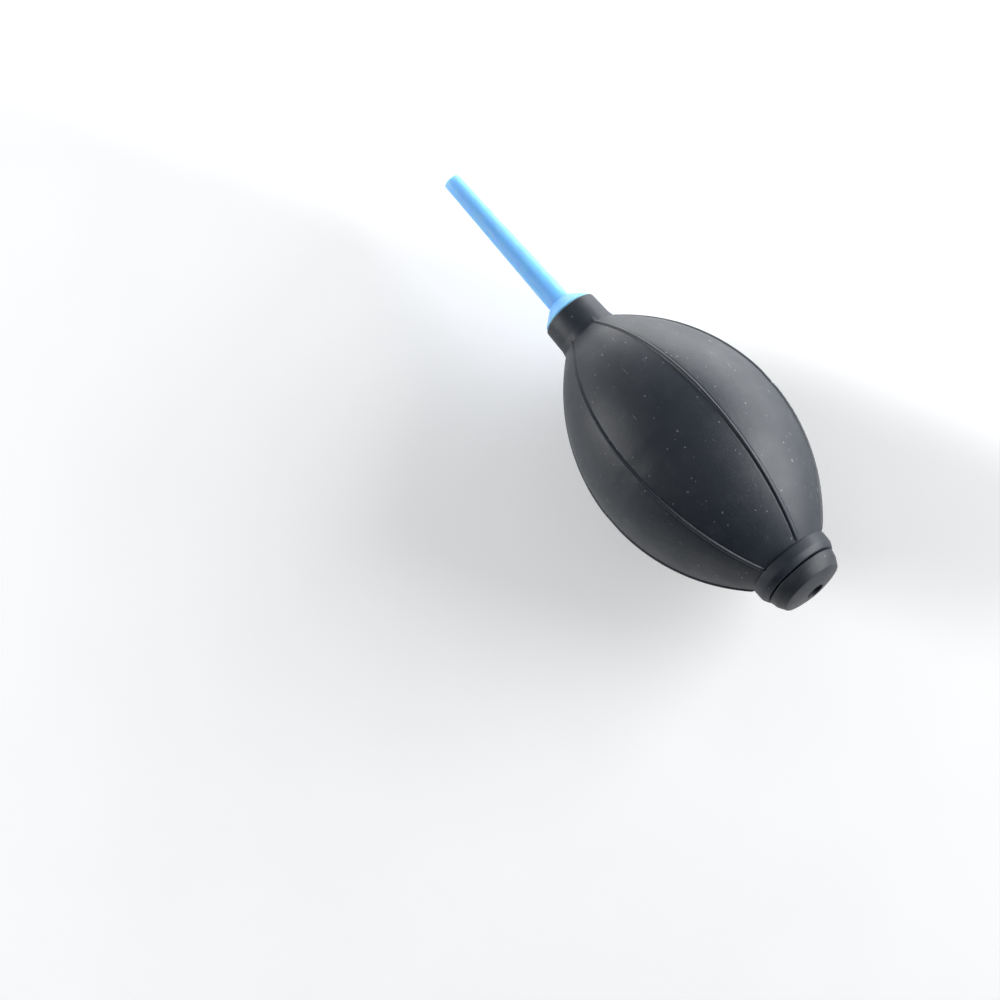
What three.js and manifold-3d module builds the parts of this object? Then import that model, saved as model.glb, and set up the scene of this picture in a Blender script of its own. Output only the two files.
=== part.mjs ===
// A hand-squeezed dust blower: a ribbed rubber bulb, a push-in plastic nozzle at its neck and a snap-in
// air valve in its rear collar. Millimetres.
//
// Every piece is drawn about the blower's axis, with x counted from the bulb's widest section towards
// the nozzle's tip. The blower group then lies on the bulb's belly, its axis along +X, with the origin
// on the surface under the middle of its length.
import * as THREE from "three";
import { mergeVertices } from "three/addons/utils/BufferGeometryUtils.js";
import Module from "manifold-3d";

const wasm = await Module();
wasm.setup();

// Driving dimensions of the whole blower
const bulbRadius = 27.2; // at its widest, to the foot of a rib
const wall = 2.8;
const gap = 0.3; // between pieces that touch
const roundSides = 24; // sides around every round piece
const tipX = 99.3; // nozzle tip
const rearX = -49.6; // rim of the air hole in the valve plug's domed face

// Bulb: a short straight belly between two arcs
const bellyHalf = 3;
const frontArc = 54.3;
const rearArc = 55.6;
const arcSteps = 8;

// Moulded ribs, and the gores between them, which are a little flatter than the circle through the ribs
const ribCount = 6;
const goreArcTurn = (50 * Math.PI) / 180; // the turn of a gore's own arc, which spans 60 degrees of the bulb
const ribWidth = 1.1;
const ribTopWidth = 0.5;
const ribHeight = 0.4;

// Neck that grips the nozzle
const neckBaseX = 41.9;
const neckRimX = 49.7;
const neckRadius = 7.9;
const neckBore = 5.3;

// Rear collar that grips the valve plug
const collarFrontX = -39.1;
const collarRearX = -43.8;
const collarRadius = 11.5;
const collarBore = 7.5;
const chamberRearX = -34.5;

// The side walls that are pressed in by hand: an oval of the wall on each side, cut straight through
const pressHalfLength = 22;
const pressHalfHeight = 18;

// Nozzle
const flangeRadius = 7.3;
const flangeHeight = 3.7;
const tubeBaseRadius = 3.3;
const tubeTipRadius = 2.5;
const airwayRadius = 1.5;
const tipAirwayRadius = 1.3;
const shankRadius = 4.4;
const barbRadius = 5.0;
const barbXs = [41, 44, 47];
const shankEndX = 38.2;

// Air valve, from the outside inwards
const headRadius = 10.4;
const faceRadius = 8.7;
const airHoleRadius = 2.6;
const waistRadius = 7.2;
const catchRadius = 8.9;
const catchLength = 3.4;
const pocketFloorX = -44.5;
const pocketRadius = 5.4;
const insertRadius = pocketRadius - gap; // seat and cage, which sit in the pocket
const seatThickness = 2.3;
const sealHeight = 0.5;
const discThickness = 0.8;
const discRadius = 3.4;
const discLift = 0.7;
const cupRadius = 4.2;
const cageFloor = 1.6;
const windowInnerRadius = 1.5;
const windowOuterRadius = 3.9;
const spokeWidth = 1.1;

const rubber = { color: 0x33363b, roughness: 0.62, metalness: 0 };
const materials = {
  bulbRubber: new THREE.MeshStandardMaterial(rubber),
  plugRubber: new THREE.MeshStandardMaterial({ ...rubber, color: 0x45484e }),
  bluePlastic: new THREE.MeshStandardMaterial({ color: 0x58b4ff, roughness: 0.35, metalness: 0 }),
  blackPlastic: new THREE.MeshStandardMaterial({ color: 0x1c1d20, roughness: 0.5, metalness: 0 }),
  silicone: new THREE.MeshStandardMaterial({ color: 0xe6d9d2, roughness: 0.7, metalness: 0 }),
};

// ---- Solids ----

// A closed mesh as a solid that can be cut and joined, without the triangles that have no area.
function solidOf(geometry) {
  geometry.deleteAttribute("normal");
  geometry.deleteAttribute("uv");
  const merged = mergeVertices(geometry, 1e-4);
  const corners = merged.index.array;
  const kept = [];
  for (let i = 0; i < corners.length; i += 3) {
    const [a, b, c] = corners.slice(i, i + 3);
    if (a !== b && b !== c && c !== a) kept.push(a, b, c);
  }
  const vertProperties = merged.attributes.position.array;
  return new wasm.Manifold(new wasm.Mesh({ numProp: 3, vertProperties, triVerts: new Uint32Array(kept) }));
}

function geometryOf(solid) {
  const mesh = solid.getMesh();
  const geometry = new THREE.BufferGeometry();
  geometry.setAttribute("position", new THREE.BufferAttribute(mesh.vertProperties, 3));
  geometry.setIndex(new THREE.BufferAttribute(mesh.triVerts, 1));
  geometry.computeVertexNormals();
  return geometry;
}

// A closed outline of [x, radius] points turned about the blower's axis. The outer side runs towards +X.
function turned(outline) {
  const closed = [...outline, outline[0]];
  const points = closed.map(([x, radius]) => new THREE.Vector2(radius, x));
  return new THREE.LatheGeometry(points, roundSides).rotateZ(-Math.PI / 2);
}

// An outline in the plane across the axis, given depth from x1 to x2.
function extrudedAlongAxis(shape, x1, x2) {
  const geometry = new THREE.ExtrudeGeometry(shape, { depth: x2 - x1, bevelEnabled: false, curveSegments: 6 });
  return geometry.rotateY(Math.PI / 2).translate(x1, 0, 0);
}

// ---- Bulb ----

// The bulb's outline, moved inwards by `inset`. Both arcs are centred level with the widest section.
function bulbRadiusAt(x, inset) {
  if (Math.abs(x) <= bellyHalf) return bulbRadius - inset;
  const arc = x < 0 ? rearArc : frontArc;
  const centre = bulbRadius - Math.sqrt(arc ** 2 - bellyHalf ** 2);
  return centre + Math.sqrt((arc - inset) ** 2 - x ** 2);
}

function bulbArc(fromX, toX, inset, rib) {
  const points = [];
  for (let i = 0; i <= arcSteps; i++) {
    const x = fromX + ((toX - fromX) * i) / arcSteps;
    points.push([x, bulbRadiusAt(x, inset), rib, 1]);
  }
  return points;
}

// A gore's distance from the axis as a share of the distance at its ribs, at an angle from straight up.
function goreShape(angle) {
  const goreTurn = (2 * Math.PI) / ribCount;
  const arc = Math.sin(goreTurn / 2) / Math.sin(goreArcTurn / 2);
  const centre = Math.cos(goreTurn / 2) - arc * Math.cos(goreArcTurn / 2);
  const fromMiddle = angle - goreTurn * Math.round(angle / goreTurn);
  return centre * Math.cos(fromMiddle) + Math.sqrt(arc ** 2 - (centre * Math.sin(fromMiddle)) ** 2);
}

// The bulb's wall as [x, radius, rib height, share of gore flatness] points: collar, belly, neck, and back
// along the inside.
function bulbOutline() {
  return [
    [collarRearX, collarBore, 0, 0],
    [collarRearX, collarRadius - 0.8, 0, 0],
    [collarRearX + 0.4, collarRadius - 0.4, 0, 0],
    [collarFrontX - 0.3, collarRadius, 0, 0],
    [collarFrontX, collarRadius - 0.2, 0, 0],
    ...bulbArc(collarFrontX + 0.2, -bellyHalf, 0, ribHeight),
    ...bulbArc(bellyHalf, neckBaseX - 0.4, 0, ribHeight),
    [neckBaseX, neckRadius + 0.2, 0, 0],
    [neckBaseX + 1.2, neckRadius, 0, 0],
    [neckRimX - 0.4, neckRadius, 0, 0],
    [neckRimX, neckRadius - 0.4, 0, 0],
    [neckRimX, neckBore, 0, 0],
    [neckBaseX - 1.2, neckBore, 0, 0],
    ...bulbArc(neckBaseX - 2, bellyHalf, wall, 0),
    ...bulbArc(-bellyHalf, chamberRearX, wall, 0),
    [chamberRearX, collarBore, 0, 0],
  ];
}

// One cross-section of the bulb: its sides in order round the axis, with a rib raised between the gores.
function bulbSection([x, radius, ribRise, flatness]) {
  const section = [];
  const sidesPerGore = roundSides / ribCount;
  const place = (turn, along, out) => {
    const y = out * Math.sin(turn) + along * Math.cos(turn);
    const z = out * Math.cos(turn) - along * Math.sin(turn);
    section.push(x, y, z);
  };
  for (let side = 0; side < roundSides; side++) {
    const middle = (2 * Math.PI * side) / roundSides;
    const corner = middle - Math.PI / roundSides;
    place(corner, 0, radius * (1 + flatness * (goreShape(corner) - 1)));
    if (side % sidesPerGore === sidesPerGore / 2) {
      place(middle, -ribWidth / 2, radius);
      place(middle, -ribTopWidth / 2, radius + ribRise);
      place(middle, ribTopWidth / 2, radius + ribRise);
      place(middle, ribWidth / 2, radius);
    }
  }
  return section;
}

function bulbWall() {
  const sections = bulbOutline().map(bulbSection);
  const around = sections[0].length / 3;
  const triangles = [];
  for (let i = 0; i < sections.length; i++) {
    for (let j = 0; j < around; j++) {
      const next = (i + 1) % sections.length;
      const a = i * around + j;
      const b = i * around + ((j + 1) % around);
      const c = next * around + j;
      const d = next * around + ((j + 1) % around);
      triangles.push(a, c, b, b, c, d);
    }
  }
  const geometry = new THREE.BufferGeometry();
  geometry.setAttribute("position", new THREE.Float32BufferAttribute(sections.flat(), 3));
  geometry.setIndex(triangles);
  return solidOf(geometry);
}

// The block that takes one pressed side wall out of the bulb, grown by `extra` all round.
function pressBlock(side, extra) {
  const oval = new THREE.Shape();
  oval.absellipse(0, 0, pressHalfLength + extra, pressHalfHeight + extra, 0, 2 * Math.PI);
  const depth = bulbRadius;
  const geometry = new THREE.ExtrudeGeometry(oval, { depth, bevelEnabled: false, curveSegments: 18 });
  const innerFaceY = bulbRadius / 4;
  return solidOf(geometry.rotateX((-side * Math.PI) / 2).translate(0, side * innerFaceY, 0));
}

function bulbBody() {
  return geometryOf(bulbWall().subtract(pressBlock(1, gap)).subtract(pressBlock(-1, gap)));
}

function pressedWall(side) {
  return geometryOf(bulbWall().intersect(pressBlock(side, 0)));
}

// ---- Nozzle ----

// Tapered tube on a conical flange, with a barbed shank that pushes into the neck.
function nozzle() {
  const flangeX = neckRimX + gap;
  const tubeX = flangeX + flangeHeight;
  const barbs = [];
  for (const x of barbXs) {
    barbs.push([x - 1.8, shankRadius], [x, barbRadius], [x + 0.2, barbRadius], [x + 0.2, shankRadius]);
  }
  return turned([
    [shankEndX, airwayRadius],
    [shankEndX, shankRadius],
    ...barbs,
    [flangeX, shankRadius],
    [flangeX, flangeRadius],
    [flangeX + 0.5, flangeRadius],
    [tubeX - 0.7, tubeBaseRadius + 0.8],
    [tubeX, tubeBaseRadius],
    [tipX - 0.2, tubeTipRadius],
    [tipX, tubeTipRadius - 0.2],
    [tipX, tipAirwayRadius],
    [tubeX, airwayRadius],
  ]);
}

// ---- Air valve ----

const seatX = pocketFloorX + gap;
const seatTopX = seatX + seatThickness;
const discX = seatTopX + sealHeight + gap;
const cageFloorX = discX + discThickness + discLift + gap;
const cageEndX = cageFloorX + cageFloor;

// Rubber plug: domed head with the air hole, waist through the collar, catch behind it.
function valvePlug() {
  const underHeadX = collarRearX - 0.4;
  const waistEndX = chamberRearX + gap;
  const plugEndX = waistEndX + catchLength;
  return turned([
    [rearX, airHoleRadius],
    [rearX, airHoleRadius + 0.6],
    [rearX + 0.5, 5.8],
    [rearX + 1.1, faceRadius - 0.7],
    [rearX + 1.6, faceRadius],
    [underHeadX - 1.9, headRadius - 0.5],
    [underHeadX, headRadius],
    [underHeadX, waistRadius],
    [waistEndX, waistRadius],
    [waistEndX, catchRadius],
    [waistEndX + 0.8, catchRadius],
    [plugEndX, waistRadius + 0.2],
    [plugEndX, pocketRadius + 0.2],
    [cageEndX + gap + 1, pocketRadius - 0.2],
    [cageEndX + gap + 1, pocketRadius - 0.7],
    [cageEndX + gap, pocketRadius - 0.7],
    [cageEndX + gap, pocketRadius],
    [pocketFloorX, pocketRadius],
    [pocketFloorX, airHoleRadius],
  ]);
}

// Hard ring that the disc closes on, with a raised seal around its hole.
function valveSeat() {
  const seatHole = 1.6;
  return turned([
    [seatX, seatHole],
    [seatX, insertRadius],
    [seatTopX, insertRadius],
    [seatTopX, 2.9],
    [seatTopX + sealHeight, 2.6],
    [seatTopX + sealHeight, 2.2],
    [seatTopX, 1.9],
    [seatTopX, seatHole],
  ]);
}

function valveDisc() {
  const disc = new THREE.CylinderGeometry(discRadius, discRadius, discThickness, roundSides);
  return disc.rotateZ(-Math.PI / 2).translate(discX + discThickness / 2, 0, 0);
}

// Cup over the disc, with four windows between the spokes of its floor.
function valveCage() {
  const rim = turned([
    [seatTopX + gap, cupRadius],
    [seatTopX + gap, insertRadius],
    [cageFloorX + cageFloor / 2, insertRadius],
    [cageFloorX + cageFloor / 2, cupRadius],
  ]);
  const floor = new THREE.Shape();
  floor.absarc(0, 0, insertRadius, 0, 2 * Math.PI);
  for (let quarter = 0; quarter < 4; quarter++) {
    const middle = (quarter * Math.PI) / 2;
    const outerHalf = Math.PI / 4 - spokeWidth / 2 / windowOuterRadius;
    const innerHalf = Math.PI / 4 - spokeWidth / 2 / windowInnerRadius;
    const window = new THREE.Path();
    window.absarc(0, 0, windowOuterRadius, middle - outerHalf, middle + outerHalf);
    window.absarc(0, 0, windowInnerRadius, middle + innerHalf, middle - innerHalf, true);
    window.closePath();
    floor.holes.push(window);
  }
  const plate = extrudedAlongAxis(floor, cageFloorX, cageEndX);
  return geometryOf(solidOf(rim).add(solidOf(plate)));
}

// ---- Blower ----

function named(name, geometry, material) {
  const mesh = new THREE.Mesh(geometry, material);
  mesh.name = name;
  return mesh;
}

const blower = new THREE.Group();
blower.add(
  named("bulb_body", bulbBody(), materials.bulbRubber),
  named("squeeze_wall_left", pressedWall(1), materials.bulbRubber),
  named("squeeze_wall_right", pressedWall(-1), materials.bulbRubber),
  named("nozzle", nozzle(), materials.bluePlastic),
  named("valve_plug", valvePlug(), materials.plugRubber),
  named("valve_seat", valveSeat(), materials.blackPlastic),
  named("valve_disc", valveDisc(), materials.silicone),
  named("valve_cage", valveCage(), materials.blackPlastic),
);
const halfSide = Math.PI / roundSides;
const bellyDrop = bulbRadius * goreShape(halfSide) * Math.cos(halfSide); // axis to the flat underneath
blower.position.set(-(tipX + rearX) / 2, 0, bellyDrop);

const dustBlower = new THREE.Group();
dustBlower.add(blower);
export default dustBlower;
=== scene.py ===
"""A dust blower for watch repair, lying on its belly: ribbed rubber bulb, blue nozzle and rear air valve.

Outlines are in millimetres, as (x, radius) about the blower's axis, with x counted from the bulb's widest
section towards the nozzle's tip. Everything in Blender is in metres.
"""

import math

import bpy
from mathutils import Matrix, Vector, noise


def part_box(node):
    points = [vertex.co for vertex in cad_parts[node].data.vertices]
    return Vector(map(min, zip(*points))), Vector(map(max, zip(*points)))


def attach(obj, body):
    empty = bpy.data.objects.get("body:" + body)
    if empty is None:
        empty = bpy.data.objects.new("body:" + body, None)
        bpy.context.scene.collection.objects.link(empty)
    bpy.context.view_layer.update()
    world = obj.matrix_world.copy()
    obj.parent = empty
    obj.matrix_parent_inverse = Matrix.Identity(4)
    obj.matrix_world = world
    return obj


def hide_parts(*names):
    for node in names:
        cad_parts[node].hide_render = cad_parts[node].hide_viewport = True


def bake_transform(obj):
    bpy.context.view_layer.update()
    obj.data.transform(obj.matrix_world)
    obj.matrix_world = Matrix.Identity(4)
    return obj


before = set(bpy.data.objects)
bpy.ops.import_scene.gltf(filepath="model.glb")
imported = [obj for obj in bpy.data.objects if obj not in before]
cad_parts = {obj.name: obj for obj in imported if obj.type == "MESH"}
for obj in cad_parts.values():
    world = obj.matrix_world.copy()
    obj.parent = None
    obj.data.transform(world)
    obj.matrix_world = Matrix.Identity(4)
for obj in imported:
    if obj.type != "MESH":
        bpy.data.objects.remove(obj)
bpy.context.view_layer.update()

MM = 0.001


def middle(node):
    """The middle of a CAD node's box."""
    low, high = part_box(node)
    return (Vector(low) + Vector(high)) / 2


WIDEST_X = middle("squeeze_wall_left").x  # the bulb's widest section
AXIS_Z = middle("nozzle").z
TIP = (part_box("nozzle")[1][0] - WIDEST_X) / MM
REAR = (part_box("valve_plug")[0][0] - WIDEST_X) / MM

# Bulb, as in the CAD, with the fine detail that only shows here
BULB_RADIUS = 27.2
WALL = 2.8
BELLY_HALF = 3.0  # half the length of the straight stretch round the widest section
FRONT_ARC = 54.3  # radii of the outline's arcs in front of and behind it
REAR_ARC = 55.6
RIB_COUNT = 6
RIB_HALF_WIDTH = 0.62
RIB_HEIGHT = 0.5
RIB_GROOVE = 0.08  # depth of the fine groove along each foot of a rib
RIPPLE = 0.07  # how far the moulded wall wanders from its outline
RIPPLE_LENGTH = 14  # roughly how far apart its swells are along the axis
GORE_TURN = 2 * math.pi / RIB_COUNT
GORE_ARC_TURN = math.radians(50)  # the turn of the flatter arc across one gore
NECK_BASE = 41.9
NECK_RIM = 49.7
NECK_RADIUS = 7.9
NECK_BORE = 5.3
COLLAR_FRONT = -39.1
COLLAR_REAR = -43.8
COLLAR_RADIUS = 11.5
COLLAR_BORE = 7.5
CHAMBER_REAR = -34.5
CHAMBER_FRONT = 39.9

# Nozzle
SHANK_END = 38.2
SHANK_RADIUS = 4.4
SHANK_BARBS = (41, 44, 47)
BARB_RADIUS = 5.0
FLANGE_RADIUS = 7.35
CONE_END_RADIUS = 3.9
TUBE_RADIUS = 3.3
AIRWAY_RADIUS = 1.5
TIP_RADIUS = 2.5
TIP_HOLE_RADIUS = 1.3

# Valve plug
AIR_HOLE_RADIUS = 2.6
DOME_RADIUS = 26.5
HEAD_RADIUS = 10.4
WAIST_RADIUS = 7.2
CATCH_RADIUS = 8.9
POCKET_FLOOR = -44.5
POCKET_RADIUS = 5.4
LIP_RADIUS = 4.7
CAGE_END = -37.7


# ---- Outlines ----


def smooth_step(low, high, value):
    share = min(1.0, max(0.0, (value - low) / (high - low)))
    return share * share * (3 - 2 * share)


def rounded(corners):
    """A closed outline through (x, radius, rounding) corners, each rounded to about that radius."""
    steps = 5
    points = []
    for i, (x, r, rounding) in enumerate(corners):
        here = Vector((x, r))
        if rounding == 0:
            points.append((x, r))
            continue
        before = Vector(corners[i - 1][:2]) - here
        after = Vector(corners[(i + 1) % len(corners)][:2]) - here
        half = before.angle(after) / 2
        longest = 0.49 * min(before.length, after.length)  # leaves room for the next corners' curves
        reach = min(rounding / math.tan(half), longest)
        start = here + before.normalized() * reach
        end = here + after.normalized() * reach
        for k in range(steps + 1):
            t = k / steps
            point = start * (1 - t) ** 2 + here * 2 * t * (1 - t) + end * t**2
            points.append(tuple(point))
    return points


def place(x, radius, turn):
    """A point in Blender from an outline's x and radius, turned from straight up towards the left."""
    y = radius * math.sin(turn)
    z = radius * math.cos(turn)
    return Vector((WIDEST_X + x * MM, y * MM, AXIS_Z + z * MM))


def mesh_object(name, points, faces, material):
    mesh = bpy.data.meshes.new(name)
    mesh.from_pydata([tuple(p) for p in points], [], faces)
    mesh.update()
    mesh.materials.append(material)
    piece = bpy.data.objects.new(name, mesh)
    bpy.context.scene.collection.objects.link(piece)
    return piece


def shade(piece, sharp_angle=math.radians(40)):
    """Smooth shading, with a crisp edge wherever two faces meet at more than the angle."""
    mesh = piece.data
    mesh.polygons.foreach_set("use_smooth", [True] * len(mesh.polygons))
    mesh.set_sharp_from_angle(angle=sharp_angle)


def faces_between(rows, width, ring):
    """Faces joining each row of points to the next, and the last to the first. Each row is a ring or open."""
    faces = []
    for i in range(rows):
        here = i * width
        following = (i + 1) % rows * width
        for k in range(width if ring else width - 1):
            beside = (k + 1) % width
            faces.append((here + k, following + k, following + beside, here + beside))
    return faces


def turned(name, outline, material):
    """A closed outline turned right round the axis."""
    steps = 128
    points = [place(x, r, 2 * math.pi * k / steps) for x, r in outline for k in range(steps)]
    faces = faces_between(len(outline), steps, ring=True)
    piece = mesh_object(name, points, faces, material)
    shade(piece)
    return piece


# ---- Materials ----


class Nodes:
    """A material's node tree, with short ways to add and join nodes. Texture scales are per metre."""

    def __init__(self, name):
        self.material = bpy.data.materials.new(name)
        self.material.use_nodes = True
        self.tree = self.material.node_tree
        self.shader = self.tree.nodes["Principled BSDF"]
        self.place = self.add("ShaderNodeTexCoord").outputs["Object"]

    def add(self, kind, **values):
        node = self.tree.nodes.new(kind)
        for name, value in values.items():
            setattr(node, name, value)
        return node

    def join(self, source, target):
        self.tree.links.new(source, target)

    def noise(self, scale, detail, stretch=(1, 1, 1)):
        """Smooth noise, longer along an axis where stretch is below 1 and shorter where it is above 1."""
        mapping = self.add("ShaderNodeMapping")
        mapping.inputs["Scale"].default_value = stretch
        self.join(self.place, mapping.inputs["Vector"])
        texture = self.add("ShaderNodeTexNoise")
        texture.inputs["Scale"].default_value = scale
        texture.inputs["Detail"].default_value = detail
        self.join(mapping.outputs["Vector"], texture.inputs["Vector"])
        return texture.outputs["Fac"]

    def ramp(self, value, *stops):
        """Stops are (position, grey or colour)."""
        node = self.add("ShaderNodeValToRGB")
        elements = node.color_ramp.elements
        while len(elements) < len(stops):
            elements.new(0.5)
        for element, (position, colour) in zip(elements, stops):
            if isinstance(colour, (int, float)):
                colour = (colour, colour, colour)
            element.position = position
            element.color = (*colour, 1)
        self.join(value, node.inputs["Fac"])
        return node.outputs["Color"]

    def mix(self, share, first, second):
        """A Mix node set to colours, whose colour sockets are inputs 6 and 7 and output 2."""
        node = self.add("ShaderNodeMix", data_type="RGBA")
        self.set(node.inputs[0], share)
        self.set(node.inputs[6], first)
        self.set(node.inputs[7], second)
        return node.outputs[2]

    def math(self, operation, first, second=0.0):
        node = self.add("ShaderNodeMath", operation=operation)
        self.set(node.inputs[0], first)
        self.set(node.inputs[1], second)
        return node.outputs["Value"]

    def set(self, socket, value):
        if isinstance(value, bpy.types.NodeSocket):
            self.join(value, socket)
        elif socket.type == "RGBA":
            socket.default_value = (*value, 1)
        else:
            socket.default_value = value

    def specks(self, scale, size, density):
        """Scattered ragged specks: 1 on a speck, 0 off it.

        Size is about the radius of a large speck, as a share of the spacing. Density is the share of cells
        that have a speck.
        """
        cells = self.add("ShaderNodeTexVoronoi")
        cells.inputs["Scale"].default_value = scale
        self.join(self.place, cells.inputs["Vector"])
        pick = self.add("ShaderNodeSeparateColor")
        self.join(cells.outputs["Color"], pick.inputs["Color"])
        kept = self.math("LESS_THAN", pick.outputs["Red"], density)
        ragged = self.math("MULTIPLY", self.noise(4 * scale, 1), 2.0)
        reach = self.math("MULTIPLY", self.math("MULTIPLY", pick.outputs["Green"], size), ragged)
        inside = self.math("LESS_THAN", cells.outputs["Distance"], reach)
        return self.math("MULTIPLY", kept, inside)

    def bump(self, *layers):
        """Layers are (height, depth in metres)."""
        normal = None
        for height, depth in layers:
            node = self.add("ShaderNodeBump")
            node.inputs["Distance"].default_value = depth
            self.join(height, node.inputs["Height"])
            if normal:
                self.join(normal, node.inputs["Normal"])
            normal = node.outputs["Normal"]
        self.join(normal, self.shader.inputs["Normal"])


def rubber(name, dark, light, dust, dustiness):
    """Moulded rubber: uneven charcoal, a film of dust, pale specks, hairline scuffs and a fine grain."""
    n = Nodes(name)
    patches = n.ramp(n.noise(45, 4), (0.3, 0.0), (0.7, 1.0))
    colour = n.mix(patches, dark, light)
    film = n.ramp(n.noise(230, 5), (0.5, 0.0), (0.8, dustiness))
    colour = n.mix(film, colour, dust)
    fine = n.specks(620, size=0.19, density=0.4)
    coarse = n.specks(230, size=0.12, density=0.25)
    scuffs = n.ramp(n.noise(160, 2, stretch=(1, 7, 2)), (0.74, 0.0), (0.77, 0.2))
    colour = n.mix(n.math("MULTIPLY", fine, 0.25), colour, dust)
    colour = n.mix(n.math("MULTIPLY", coarse, 0.32), colour, dust)
    colour = n.mix(scuffs, colour, dust)
    n.set(n.shader.inputs["Base Color"], colour)
    n.set(n.shader.inputs["Roughness"], n.ramp(n.noise(120, 4), (0.3, 0.44), (0.7, 0.54)))
    n.shader.inputs["Specular IOR Level"].default_value = 0.4
    n.bump((n.noise(2600, 2), 0.00003), (n.noise(420, 3), 0.00005), (coarse, 0.00004))
    return n.material


def nozzle_plastic():
    """Smooth light blue plastic that lets light through, with faint flow marks and a few specks."""
    deep_blue = (0.18, 0.47, 0.97)
    light_blue = (0.20, 0.50, 1.0)
    dust = (0.8, 0.9, 1.0)
    n = Nodes("nozzle_plastic")
    flow = n.ramp(n.noise(90, 3, stretch=(0.15, 1, 1)), (0.3, deep_blue), (0.7, light_blue))
    specks = n.math("MULTIPLY", n.specks(500, size=0.1, density=0.1), 0.4)
    n.set(n.shader.inputs["Base Color"], n.mix(specks, flow, dust))
    n.set(n.shader.inputs["Roughness"], n.ramp(n.noise(260, 3), (0.35, 0.42), (0.7, 0.52)))
    n.shader.inputs["Specular IOR Level"].default_value = 0.3
    n.shader.inputs["Subsurface Weight"].default_value = 1.0
    n.shader.inputs["Subsurface Radius"].default_value = (1.0, 0.7, 0.3)
    n.shader.inputs["Subsurface Scale"].default_value = 0.005
    n.bump((n.noise(800, 2), 0.000004), (n.noise(60, 2, stretch=(0.3, 1, 1)), 0.00001))
    return n.material


def valve_plastic():
    """Black moulded plastic with a fine matt texture."""
    n = Nodes("valve_plastic")
    n.set(n.shader.inputs["Base Color"], n.ramp(n.noise(300, 3), (0.3, 0.012), (0.7, 0.03)))
    n.set(n.shader.inputs["Roughness"], n.ramp(n.noise(500, 2), (0.3, 0.4), (0.7, 0.55)))
    n.bump((n.noise(3000, 2), 0.00001))
    return n.material


def valve_silicone():
    """Thin natural silicone, milky and slightly uneven."""
    clearer = (0.62, 0.6, 0.56)
    milkier = (0.72, 0.7, 0.67)
    n = Nodes("valve_silicone")
    n.set(n.shader.inputs["Base Color"], n.ramp(n.noise(400, 3), (0.3, clearer), (0.7, milkier)))
    n.set(n.shader.inputs["Roughness"], n.ramp(n.noise(600, 2), (0.3, 0.45), (0.7, 0.6)))
    n.shader.inputs["Subsurface Weight"].default_value = 0.3
    n.shader.inputs["Subsurface Scale"].default_value = 0.001
    n.bump((n.noise(2500, 2), 0.000008))
    return n.material


def floor_paper():
    """White paper that glows faintly round the blower, and strongly further to its right and front."""
    faint_from = -0.01
    strong_from = -0.17
    faint = 0.2
    strong = 6.0
    n = Nodes("floor_paper")
    n.set(n.shader.inputs["Base Color"], n.ramp(n.noise(30, 3), (0.3, 0.86), (0.7, 0.88)))
    n.set(n.shader.inputs["Roughness"], n.ramp(n.noise(200, 2), (0.3, 0.8), (0.7, 0.9)))
    leftward_rear = n.add("ShaderNodeVectorMath", operation="DOT_PRODUCT")
    n.join(n.place, leftward_rear.inputs[0])
    leftward_rear.inputs[1].default_value = (-0.5, 1, 0)
    glow = n.add("ShaderNodeMapRange", interpolation_type="SMOOTHSTEP")
    n.set(glow.inputs["Value"], leftward_rear.outputs["Value"])
    n.set(glow.inputs["From Min"], strong_from)
    n.set(glow.inputs["From Max"], faint_from)
    n.set(glow.inputs["To Min"], strong)
    n.set(glow.inputs["To Max"], faint)
    n.shader.inputs["Emission Color"].default_value = (1, 1, 1, 1)
    n.set(n.shader.inputs["Emission Strength"], glow.outputs["Result"])
    return n.material


# ---- Bulb ----


def bulb_radius(x, inset):
    """The bulb's outline at its ribs' feet, moved inwards by inset."""
    if abs(x) <= BELLY_HALF:
        return BULB_RADIUS - inset
    arc = REAR_ARC if x < 0 else FRONT_ARC
    centre = BULB_RADIUS - math.sqrt(arc**2 - BELLY_HALF**2)
    return centre + math.sqrt((arc - inset) ** 2 - x**2)


def gore_shape(turn):
    """A gore's distance from the axis as a share of the distance at its ribs."""
    arc = math.sin(GORE_TURN / 2) / math.sin(GORE_ARC_TURN / 2)
    centre = math.cos(GORE_TURN / 2) - arc * math.cos(GORE_ARC_TURN / 2)
    from_middle = turn - GORE_TURN * round(turn / GORE_TURN)
    return centre * math.cos(from_middle) + math.sqrt(arc**2 - (centre * math.sin(from_middle)) ** 2)


def stretch_of_bulb(start, end, step, inset):
    """Outline points of the bulb's wall from start to end, about a step apart and none of them rounded."""
    count = max(2, round(abs(end - start) / step))
    xs = [start + (end - start) * i / count for i in range(count + 1)]
    return [(x, bulb_radius(x, inset), 0) for x in xs]


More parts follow.
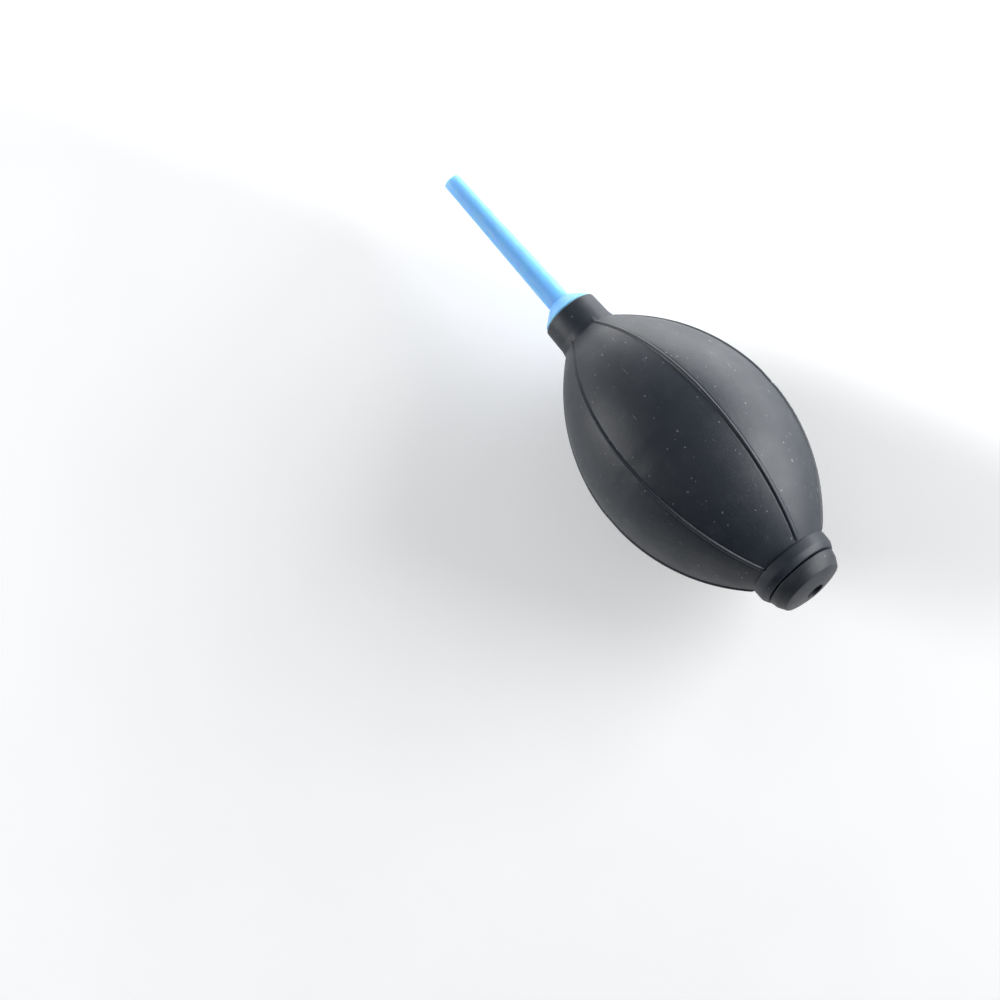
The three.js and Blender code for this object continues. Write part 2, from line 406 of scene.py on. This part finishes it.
def bulb_outline():
    """The bulb's wall, outside from the collar to the neck and back along the inside."""
    corners = [
        (COLLAR_REAR, COLLAR_BORE, 0.3),
        (COLLAR_REAR, COLLAR_RADIUS - 0.8, 0.5),
        (COLLAR_REAR + 1.6, COLLAR_RADIUS + 0.05, 2),
        (COLLAR_FRONT - 0.15, COLLAR_RADIUS + 0.1, 0.5),
        (COLLAR_FRONT + 0.15, bulb_radius(COLLAR_FRONT + 0.15, 0), 0.2),
        *stretch_of_bulb(COLLAR_FRONT + 0.6, NECK_BASE - 1.3, step=0.5, inset=0),
        (NECK_BASE - 0.6, bulb_radius(NECK_BASE - 0.6, 0) + 0.1, 0.9),
        (NECK_BASE + 1.4, NECK_RADIUS + 0.1, 2),
        (NECK_RIM, NECK_RADIUS - 0.1, 0.4),
        (NECK_RIM, NECK_BORE, 0.3),
        (CHAMBER_FRONT + 0.9, NECK_BORE, 0.6),
        *stretch_of_bulb(CHAMBER_FRONT, CHAMBER_REAR, step=2.0, inset=WALL),
        (CHAMBER_REAR, COLLAR_BORE, 0.3),
    ]
    return rounded(corners)


def gore_turns(radius):
    """Turns across one gore, from rib to rib: close together over the ribs, and wider apart between."""
    across_rib = [0.0, 0.15, 0.29, 0.4, 0.48, 0.55, 0.62, 0.7, 0.8, 0.95, 1.3]  # distances from its middle
    foot = across_rib[-1] / radius
    between = 20
    first = [mm / radius for mm in across_rib]
    gap = GORE_TURN - 2 * foot
    inner = [foot + gap * i / between for i in range(1, between)]
    last = [GORE_TURN - t for t in reversed(first)]
    return first + inner + last[:-1]


def rib_rise(x, from_rib):
    """Height of a rib's bead at a distance across it, with a fine groove along both its feet.

    Every rib starts at the neck and ends against the collar.
    """
    groove_middle = 1.12  # both as a share of the rib's half width
    groove_half = 0.35
    across = abs(from_rib) / RIB_HALF_WIDTH
    if across < 1:
        bead = smooth_step(COLLAR_FRONT + 0.2, COLLAR_FRONT + 0.5, x)
        bead *= 1 - smooth_step(NECK_BASE - 0.9, NECK_BASE - 0.1, x)
        return bead * RIB_HEIGHT * (1 - across**2.5)
    groove = smooth_step(COLLAR_FRONT + 0.2, COLLAR_FRONT + 1, x)
    groove *= 1 - smooth_step(NECK_BASE - 1.6, NECK_BASE - 0.6, x)
    return -groove * RIB_GROOVE * max(0.0, 1 - abs(across - groove_middle) / groove_half)


def bulb_point(x, radius, turn, outside):
    """A point of the bulb's wall. Gores flatten between the ribs, and the belly flattens where it rests."""
    gores = smooth_step(COLLAR_FRONT - 0.1, COLLAR_FRONT + 0.2, x)
    gores *= 1 - smooth_step(NECK_BASE - 1.3, NECK_BASE + 0.6, x)
    from_rib = turn - GORE_TURN / 2
    from_rib -= GORE_TURN * round(from_rib / GORE_TURN)
    distance = radius * (1 + gores * (gore_shape(turn) - 1))
    if outside:
        distance += rib_rise(x, from_rib * radius)
        ripple = noise.noise(Vector((x / RIPPLE_LENGTH, 3 * math.cos(turn), 3 * abs(math.sin(turn)))))
        distance += RIPPLE * gores * ripple
    point = place(x, distance, turn)
    point.z = max(point.z, 0.0)
    return point


def bulb_skin(name, side, material):
    """One half of the bulb, cut where it is never squeezed: along the middle of the top and bottom gores."""
    outline = bulb_outline()
    rim = max(range(len(outline)), key=lambda i: outline[i][0])
    rows = []
    for index, (x, radius) in enumerate(outline):
        turns = []
        for gore in range(RIB_COUNT // 2 + 1):
            start = GORE_TURN * (gore - 0.5)
            turns += [start + t for t in gore_turns(radius)]
        turns = [0.0] + [t for t in turns if 1e-4 < t < math.pi - 1e-4] + [math.pi]
        rows.append([bulb_point(x, radius, side * t, outside=index < rim) for t in turns])
    width = len(rows[0])
    assert all(len(row) == width for row in rows)
    points = [p for row in rows for p in row]
    faces = faces_between(len(rows), width, ring=False)
    if side < 0:
        faces = [face[::-1] for face in faces]
    skin = mesh_object(name, points, faces, material)
    shade(skin, math.radians(50))
    return skin


def build_bulb():
    """Two half skins in place of the CAD's bulb and its squeezed walls."""
    dark = (0.011, 0.016, 0.024)
    light = (0.019, 0.024, 0.032)
    dust = (0.33, 0.34, 0.35)
    material = rubber("bulb_rubber", dark, light, dust, dustiness=0.025)
    for name, side, wall_body, node in (
        ("bulb_skin_left", 1, "left_wall", "squeeze_wall_left"),
        ("bulb_skin_right", -1, "right_wall", "squeeze_wall_right"),
    ):
        skin = bulb_skin(name, side, material)
        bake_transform(skin)
        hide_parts(node, "bulb_body")


# ---- Nozzle ----


def build_nozzle():
    """A barbed shank inside the neck, a flange with a rim and a cone, and a slim tapered tube."""
    flange = NECK_RIM + 0.15
    cone_end = flange + 3.6
    tube = flange + 4.0
    barbs = []
    for x in SHANK_BARBS:
        barbs += [
            (x - 1.8, SHANK_RADIUS, 0.1),
            (x, BARB_RADIUS, 0.15),
            (x + 0.25, BARB_RADIUS, 0.1),
            (x + 0.35, SHANK_RADIUS, 0.1),
        ]
    corners = [
        (SHANK_END, AIRWAY_RADIUS, 0.2),
        (SHANK_END, SHANK_RADIUS, 0.4),
        *barbs,
        (flange, SHANK_RADIUS, 0.1),
        (flange, FLANGE_RADIUS, 0.2),
        (flange + 0.55, FLANGE_RADIUS - 0.05, 0.3),
        (cone_end, CONE_END_RADIUS, 0.5),
        (tube, TUBE_RADIUS, 0.9),
        (TIP, TIP_RADIUS, 0.3),
        (TIP, TIP_HOLE_RADIUS, 0.15),
        (tube, AIRWAY_RADIUS, 0),
    ]
    piece = turned("nozzle_tube", rounded(corners), nozzle_plastic())
    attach(piece, "nozzle")
    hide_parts("nozzle")


# ---- Air valve ----


def build_valve_plug():
    """A tapered head with a domed face, a waist through the collar, a catch, and a pocket for the valve."""
    under_head = COLLAR_REAR - 0.4
    waist_end = CHAMBER_REAR + 0.3
    plug_end = waist_end + 3.4
    lip_rear = CAGE_END + 0.3  # the pocket's lip holds the cage in
    lip_front = CAGE_END + 1.3
    dome = []
    for r in (3.2, 4.0, 5.0, 6.0, 7.0, 7.8):
        fall = (r**2 - AIR_HOLE_RADIUS**2) / 2 / DOME_RADIUS  # a parabola, close to a sphere this shallow
        dome.append((REAR + fall, r, 0))
    corners = [
        (REAR, AIR_HOLE_RADIUS, 0.15),
        *dome,
        (REAR + 1.3, 8.7, 0.7),
        (under_head - 1.9, 9.95, 2),
        (under_head, HEAD_RADIUS, 0.25),
        (under_head, WAIST_RADIUS, 0.3),
        (waist_end, WAIST_RADIUS, 0.3),
        (waist_end, CATCH_RADIUS, 0.3),
        (waist_end + 0.8, CATCH_RADIUS, 0.5),
        (plug_end, 7.4, 0.4),
        (plug_end, 5.6, 0.3),
        (lip_front, 5.2, 0.2),
        (lip_front, LIP_RADIUS, 0.2),
        (lip_rear, LIP_RADIUS, 0.2),
        (lip_rear, POCKET_RADIUS, 0.1),
        (POCKET_FLOOR, POCKET_RADIUS, 0.1),
        (POCKET_FLOOR, AIR_HOLE_RADIUS, 0.1),
    ]
    dark = (0.014, 0.018, 0.024)
    light = (0.022, 0.026, 0.032)
    dust = (0.36, 0.37, 0.38)
    material = rubber("plug_rubber", dark, light, dust, dustiness=0.04)
    piece = turned("valve_plug_rubber", rounded(corners), material)
    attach(piece, "bulb")
    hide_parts("valve_plug")


def finish_valve_insides():
    """The seat, disc and cage keep their CAD shapes."""
    plastic = valve_plastic()
    silicone = valve_silicone()
    for node, material in (("valve_seat", plastic), ("valve_cage", plastic), ("valve_disc", silicone)):
        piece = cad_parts[node]
        piece.data.materials.clear()
        piece.data.materials.append(material)


# ---- Stage ----


def build_floor():
    size = 3.0
    corners = [(-size, -size, 0), (size, -size, 0), (size, size, 0), (-size, size, 0)]
    floor = mesh_object("floor", corners, [(0, 1, 2, 3)], floor_paper())


def add_softbox(name, towards, distance, size, radiance):
    """A round softbox that faces the bulb, in the given direction from it."""
    target = Vector((WIDEST_X, 0, AXIS_Z))
    light = bpy.data.lights.new(name, "AREA")
    light.shape = "DISK"
    light.size = size
    disc_area = math.pi * size**2 / 4
    light.energy = radiance * math.pi * disc_area
    lamp = bpy.data.objects.new(name, light)
    lamp.location = target + Vector(towards).normalized() * distance
    lamp.rotation_euler = Vector(towards).to_track_quat("Z", "Y").to_euler()
    bpy.context.scene.collection.objects.link(lamp)


def build_softboxes():
    """A strong low one on the right, towards the rear, and a smaller, higher one on the front left."""
    add_softbox("key", (-0.45, -0.85, 0.26), distance=0.8, size=0.7, radiance=9)
    add_softbox("fill", (0.62, 0.72, 0.4), distance=0.9, size=0.5, radiance=8.5)


def build_world():
    """A slightly blue surround that darkens towards the rear left. The camera sees a plain pale backdrop."""
    bluish = (0.9, 0.95, 1, 1)
    pale = (0.9, 0.9, 0.9, 1)
    usual = 0.3
    darkest = 0.05
    world = bpy.data.worlds.new("studio")
    world.use_nodes = True
    tree = world.node_tree
    background = tree.nodes["Background"]
    background.inputs["Color"].default_value = bluish
    direction = tree.nodes.new("ShaderNodeTexCoord")
    rearward_left = tree.nodes.new("ShaderNodeVectorMath")
    rearward_left.operation = "DOT_PRODUCT"
    rearward_left.inputs[1].default_value = (-0.6, 0.8, 0)
    strength = tree.nodes.new("ShaderNodeMapRange")
    strength.inputs["From Min"].default_value = 0.0
    strength.inputs["From Max"].default_value = 0.9
    strength.inputs["To Min"].default_value = usual
    strength.inputs["To Max"].default_value = darkest
    tree.links.new(direction.outputs["Generated"], rearward_left.inputs[0])
    tree.links.new(rearward_left.outputs["Value"], strength.inputs["Value"])
    tree.links.new(strength.outputs["Result"], background.inputs["Strength"])
    backdrop = tree.nodes.new("ShaderNodeBackground")
    backdrop.inputs["Color"].default_value = pale
    seen = tree.nodes.new("ShaderNodeLightPath")
    choose = tree.nodes.new("ShaderNodeMixShader")
    tree.links.new(seen.outputs["Is Camera Ray"], choose.inputs[0])
    tree.links.new(background.outputs["Background"], choose.inputs[1])
    tree.links.new(backdrop.outputs["Background"], choose.inputs[2])
    tree.links.new(choose.outputs["Shader"], tree.nodes["World Output"].inputs["Surface"])
    bpy.context.scene.world = world


def build_camera():
    """Above the bulb, a little to its rear and right, rolled so that the nozzle points up and left."""
    tilt = math.radians(15)
    lean = math.radians(3)
    roll = math.radians(41.45)
    aim = Vector((WIDEST_X, 0, AXIS_Z))
    distance = 1.18893
    aim_right = 0.0496  # how far the aimed point lies from the middle of the view, in metres at its distance
    aim_up = 0.01261

    towards = Vector((-math.sin(tilt), -math.sin(lean) * math.cos(tilt), math.cos(lean) * math.cos(tilt)))
    along = (Vector((1, 0, 0)) - towards * towards.x).normalized()
    across = along.cross(towards)
    right = across * math.cos(roll) - along * math.sin(roll)
    up = along * math.cos(roll) + across * math.sin(roll)
    facing = Matrix((right, up, towards)).transposed()
    offset = Vector((aim_right, aim_up, -distance)).normalized()
    nudge = offset.rotation_difference(Vector((0, 0, -1))).to_matrix()

    data = bpy.data.cameras.new("camera")
    data.lens = 165.0
    data.sensor_width = 36.0
    camera = bpy.data.objects.new("camera", data)
    camera.matrix_world = Matrix.Translation(aim + towards * distance) @ (facing @ nudge).to_4x4()
    bpy.context.scene.collection.objects.link(camera)
    bpy.context.scene.camera = camera


bpy.context.scene.view_settings.view_transform = "Standard"
build_camera()
build_bulb()
build_nozzle()
build_valve_plug()
finish_valve_insides()
build_floor()
build_softboxes()
build_world()
